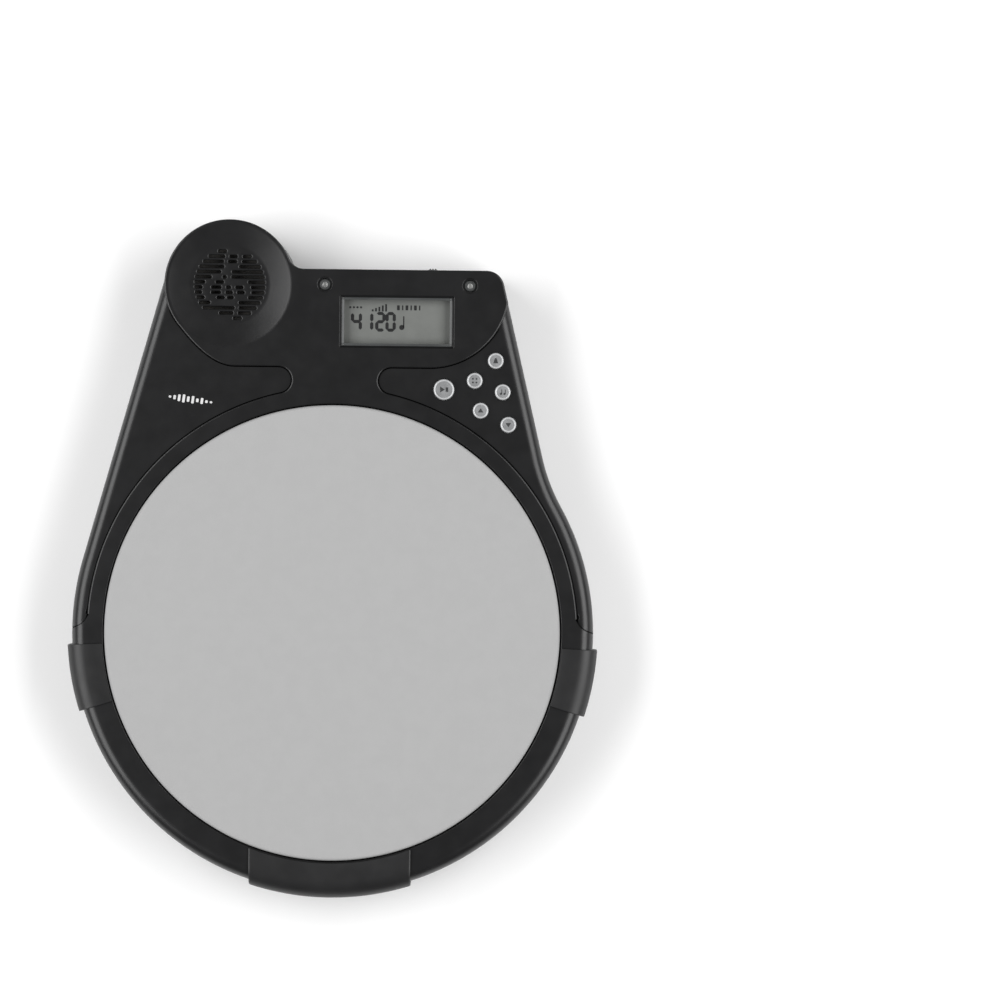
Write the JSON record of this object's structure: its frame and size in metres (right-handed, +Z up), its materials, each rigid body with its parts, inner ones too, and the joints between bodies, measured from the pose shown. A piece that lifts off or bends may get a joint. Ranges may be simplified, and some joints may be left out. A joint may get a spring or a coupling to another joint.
{
  "type": "electronic drum pad",
  "caption": "Electronic practice drum pad: round rubber playing pad in a two-part plastic case with speaker, display, buttons and a threaded stand socket.",
  "frame": {"origin": "middle of the box of the part on the surface that its rubber feet stand on", "axes": "+Z up out of the playing surface, +Y from the round pad towards the speaker and socket end, +X to the player's right"},
  "size_m": [0.237, 0.3028, 0.0335],
  "materials": {
    "black_abs": "fine textured injection moulding",
    "pad_rubber": "matte moulded natural rubber, fine stipple",
    "guard_rubber": "satin black moulded elastomer",
    "foot_rubber": "grained foam rubber sheet",
    "foam": "closed-cell foam",
    "steel": "zinc plated sheet or bar",
    "nickel": "nickel plated, turned and milled",
    "brass": "brass disc with ceramic face",
    "board": "green solder mask on glass laminate",
    "clear_plastic": "clear polished acrylic",
    "lcd": "reflective grey display glass",
    "silver_plastic": "silver plated moulding",
    "black_part": "satin black moulding",
    "label": "printed polyester film",
    "cone_paper": "pressed paper pulp",
    "battery_can": "printed metal jacket",
    "wire": "PVC insulated lead"
  },
  "bodies": {
    "case": {"bottom_cover": "black_abs", "top_cover": "black_abs", "playing_pad": "pad_rubber", "pad_foam": "foam", "pad_plate": "steel", "piezo_sensor": "brass", "rim_guard_right": "guard_rubber", "rim_guard_left": "guard_rubber", "rim_guard_front": "guard_rubber", "lcd_window": "clear_plastic", "lcd_panel": "lcd", "main_board": "board", "button_board": "board", "led_left": "clear_plastic", "led_right": "clear_plastic", "speaker_frame": "steel", "speaker_cone": "cone_paper", "speaker_magnet": "steel", "power_switch": "steel", "volume_pot": "steel", "power_jack": "black_part", "aux_jack": "black_part", "phones_jack": "black_part", "battery": "battery_can", "battery_snap": "black_part", "stand_nut": "nickel", "foot_pad_top": "foot_rubber", "foot_pad_right": "foot_rubber", "foot_pad_left": "foot_rubber", "rating_label": "label", "sensor_lead": "wire", "speaker_lead": "wire", "battery_lead": "wire", "play_tact_switch": "black_part", "beat_tact_switch": "black_part", "tempo_tact_switch": "black_part", "rhythm_tact_switch": "black_part", "up_tact_switch": "black_part", "down_tact_switch": "black_part", "case_screw_1": "steel", "case_screw_2": "steel", "case_screw_3": "steel", "case_screw_4": "steel", "case_screw_5": "steel", "case_screw_6": "steel", "case_screw_7": "steel", "case_screw_8": "steel"},
    "play_button": {"play_button": "silver_plastic"},
    "beat_button": {"beat_button": "silver_plastic"},
    "tempo_button": {"tempo_button": "silver_plastic"},
    "rhythm_button": {"rhythm_button": "silver_plastic"},
    "up_button": {"up_button": "silver_plastic"},
    "down_button": {"down_button": "silver_plastic"},
    "power_knob": {"power_switch_knob": "black_part"},
    "volume_thumbwheel": {"volume_wheel": "black_part"},
    "door": {"battery_door": "black_abs"}
  },
  "joints": [
    {"name": "play_press", "type": "slide", "parent": "case", "child": "play_button", "axis": [0, 0, -1], "range_m": [0, 0.0008], "stiffness_N_per_m": 300},
    {"name": "beat_press", "type": "slide", "parent": "case", "child": "beat_button", "axis": [0, 0, -1], "range_m": [0, 0.0008], "stiffness_N_per_m": 300},
    {"name": "tempo_press", "type": "slide", "parent": "case", "child": "tempo_button", "axis": [0, 0, -1], "range_m": [0, 0.0008], "stiffness_N_per_m": 300},
    {"name": "rhythm_press", "type": "slide", "parent": "case", "child": "rhythm_button", "axis": [0, 0, -1], "range_m": [0, 0.0008], "stiffness_N_per_m": 300},
    {"name": "up_press", "type": "slide", "parent": "case", "child": "up_button", "axis": [0, 0, -1], "range_m": [0, 0.0008], "stiffness_N_per_m": 300},
    {"name": "down_press", "type": "slide", "parent": "case", "child": "down_button", "axis": [0, 0, -1], "range_m": [0, 0.0008], "stiffness_N_per_m": 300},
    {"name": "power_slide", "type": "slide", "parent": "case", "child": "power_knob", "axis": [1, 0, 0], "range_m": [0, 0.004]},
    {"name": "volume_turn", "type": "hinge", "parent": "case", "child": "volume_thumbwheel", "pos_m": [0.0336, 0.12095, 0.0239], "axis": [0, 0, 1], "range_deg": [-135, 135]},
    {"name": "door_slide", "type": "slide", "parent": "case", "child": "door", "axis": [-0.9629, 0.27, 0], "range_m": [0, 0.036]}
  ]
}
